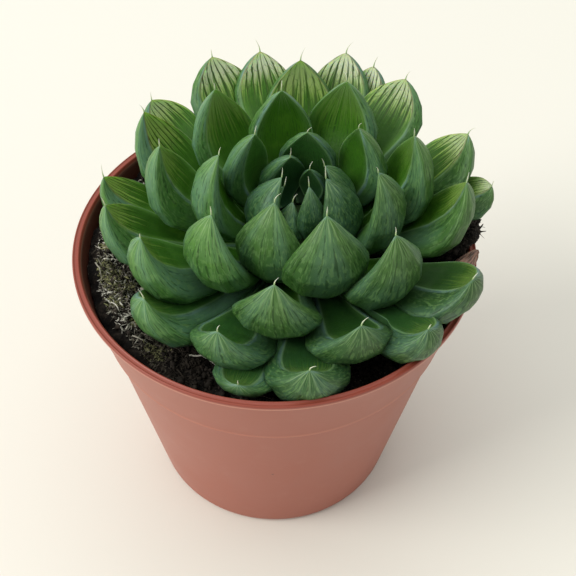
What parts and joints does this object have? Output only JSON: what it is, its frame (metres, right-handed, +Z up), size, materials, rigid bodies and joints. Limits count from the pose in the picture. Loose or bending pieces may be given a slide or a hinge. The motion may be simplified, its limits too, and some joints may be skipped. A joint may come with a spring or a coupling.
{
  "type": "potted succulent",
  "caption": "Small potted haworthia: a dense rosette of thick, pointed, boat-shaped leaves on a short stem, standing in peat in a round tapered nursery pot.",
  "frame": {"origin": "on the pot's axis, at the flat underside of its base", "axes": "+Z up along the pot's axis, -Y towards the side that the picture was taken from, +X to its right"},
  "size_m": [0.0938, 0.094, 0.0976],
  "materials": {
    "pot_plastic": "satin",
    "peat": "matte",
    "stem_tissue": "matte",
    "leaf_flesh": "satin",
    "dry_leaf_tissue": "matte"
  },
  "bodies": {
    "root": {"pot": "pot_plastic", "soil": "peat", "stem": "stem_tissue", "dry_leaf": "dry_leaf_tissue", "leaf_01": "leaf_flesh", "leaf_02": "leaf_flesh", "leaf_03": "leaf_flesh", "leaf_04": "leaf_flesh", "leaf_05": "leaf_flesh", "leaf_06": "leaf_flesh", "leaf_07": "leaf_flesh", "leaf_08": "leaf_flesh", "leaf_09": "leaf_flesh", "leaf_10": "leaf_flesh", "leaf_11": "leaf_flesh", "leaf_12": "leaf_flesh", "leaf_13": "leaf_flesh", "leaf_14": "leaf_flesh", "leaf_15": "leaf_flesh", "leaf_16": "leaf_flesh", "leaf_17": "leaf_flesh", "leaf_18": "leaf_flesh", "leaf_19": "leaf_flesh", "leaf_20": "leaf_flesh", "leaf_21": "leaf_flesh", "leaf_22": "leaf_flesh", "leaf_23": "leaf_flesh", "leaf_24": "leaf_flesh", "leaf_25": "leaf_flesh", "leaf_26": "leaf_flesh", "leaf_27": "leaf_flesh", "leaf_28": "leaf_flesh", "leaf_29": "leaf_flesh", "leaf_30": "leaf_flesh", "leaf_31": "leaf_flesh", "leaf_32": "leaf_flesh", "leaf_33": "leaf_flesh", "leaf_34": "leaf_flesh", "leaf_35": "leaf_flesh", "leaf_36": "leaf_flesh", "leaf_37": "leaf_flesh", "leaf_38": "leaf_flesh", "leaf_39": "leaf_flesh", "leaf_40": "leaf_flesh", "leaf_41": "leaf_flesh", "leaf_42": "leaf_flesh", "leaf_43": "leaf_flesh", "leaf_44": "leaf_flesh"}
  },
  "joints": []
}
